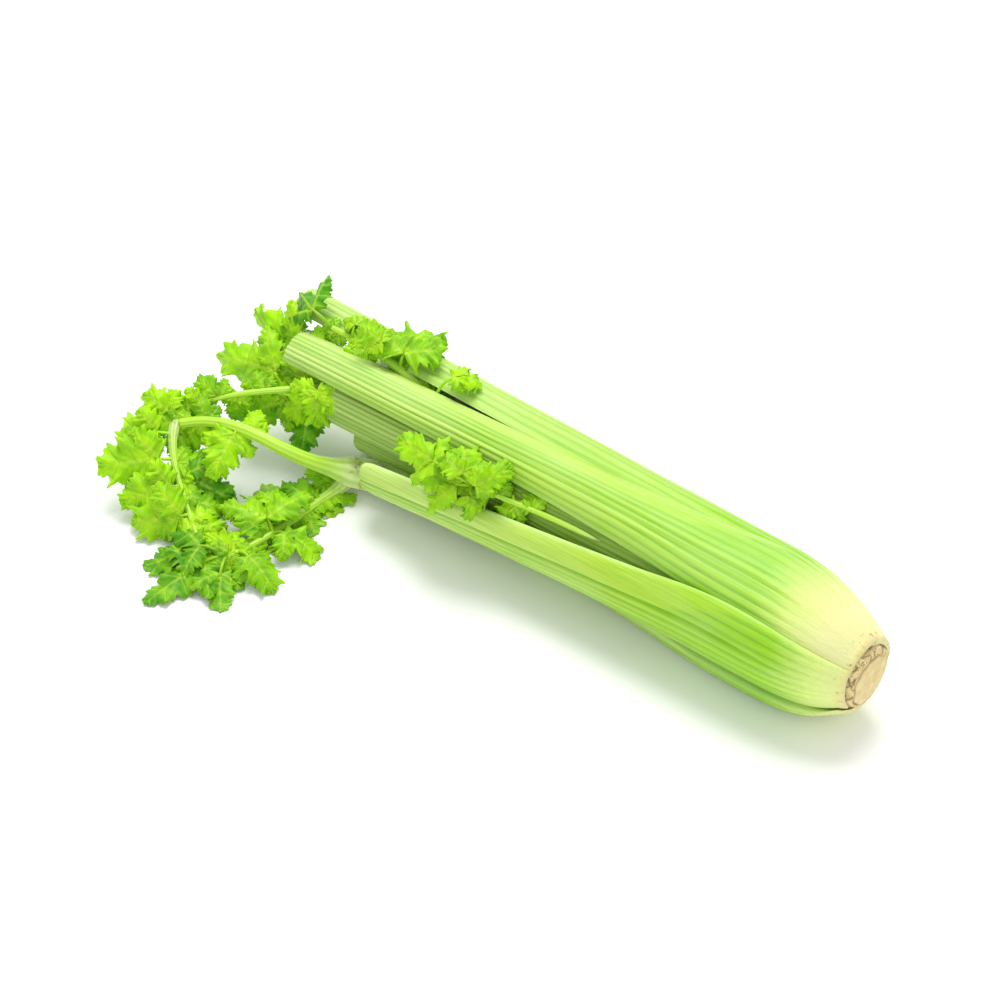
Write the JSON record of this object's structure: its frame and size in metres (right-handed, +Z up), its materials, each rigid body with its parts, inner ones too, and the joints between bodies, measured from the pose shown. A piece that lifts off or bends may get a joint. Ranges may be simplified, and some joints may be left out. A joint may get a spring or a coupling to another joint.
{
  "type": "head of celery",
  "caption": "Fresh head of celery lying on its side: ribbed green stalks that swell to a cut pale base, trimmed straight at the far end, with lobed leaves from the heart.",
  "frame": {"origin": "on the surface it rests on, under the middle of the bounding box", "axes": "+X runs along the head towards the cut butt, +Y towards the side away from the hanging leaves, +Z up"},
  "size_m": [0.3788, 0.1866, 0.0846],
  "materials": {
    "crown": "dry cut face, matt, browned at the rim",
    "stalk": "moist waxy skin with a soft gloss and long ribs",
    "pale_stalk": "moist waxy skin, pale",
    "leaf_stem": "smooth waxy skin",
    "leaf": "thin leaf with a soft gloss and paler veins"
  },
  "bodies": {
    "root": {"butt": "crown", "stalk_front_upper": "stalk", "stalk_front_lower": "stalk", "stalk_under": "stalk", "stalk_back_lower": "stalk", "stalk_back_upper": "stalk", "stalk_middle_front": "stalk", "stalk_middle_leafy": "stalk", "stalk_middle_under": "stalk", "stalk_middle_back": "stalk", "stalk_middle_top": "stalk", "stalk_inner_front": "pale_stalk", "stalk_inner_under": "pale_stalk", "stalk_inner_back": "pale_stalk", "stalk_inner_top": "pale_stalk", "heart_stalk_long": "pale_stalk", "heart_stalk_front": "pale_stalk", "heart_stalk_short": "pale_stalk", "leaf_stem_leaning": "leaf_stem", "leaf_stem_hanging": "leaf_stem", "leaf_stem_low": "leaf_stem", "leaf_stem_thin": "leaf_stem", "leaf_stem_heart": "leaf_stem", "leaf_stem_top": "leaf_stem", "leaf_stem_curled": "leaf_stem", "leaflet_top_tip": "leaf", "leaflet_top_rear": "leaf", "leaflet_fan_wide": "leaf", "leaflet_fan_narrow": "leaf", "leaflet_crest": "leaf", "leaflet_heart_far": "leaf", "leaflet_heart_high": "leaf", "leaflet_heart_low": "leaf", "leaflet_heart_drooping": "leaf", "leaflet_heart_hanging": "leaf", "leaflet_curled_long": "leaf", "leaflet_curled_high": "leaf", "leaflet_curled_end": "leaf", "leaflet_curled_rolled": "leaf", "leaflet_curled_far": "leaf", "leaflet_leaning_side": "leaf", "leaflet_ring_top": "leaf", "leaflet_ring_upper": "leaf", "leaflet_ring_left": "leaf", "leaflet_ring_inner": "leaf", "leaflet_ring_mid": "leaf", "leaflet_ring_lower": "leaf", "leaflet_low_left": "leaf", "leaflet_low_tip": "leaf", "leaflet_low_near": "leaf", "leaflet_low_right": "leaf", "leaflet_low_end": "leaf", "leaflet_low_inner": "leaf"}
  },
  "joints": []
}
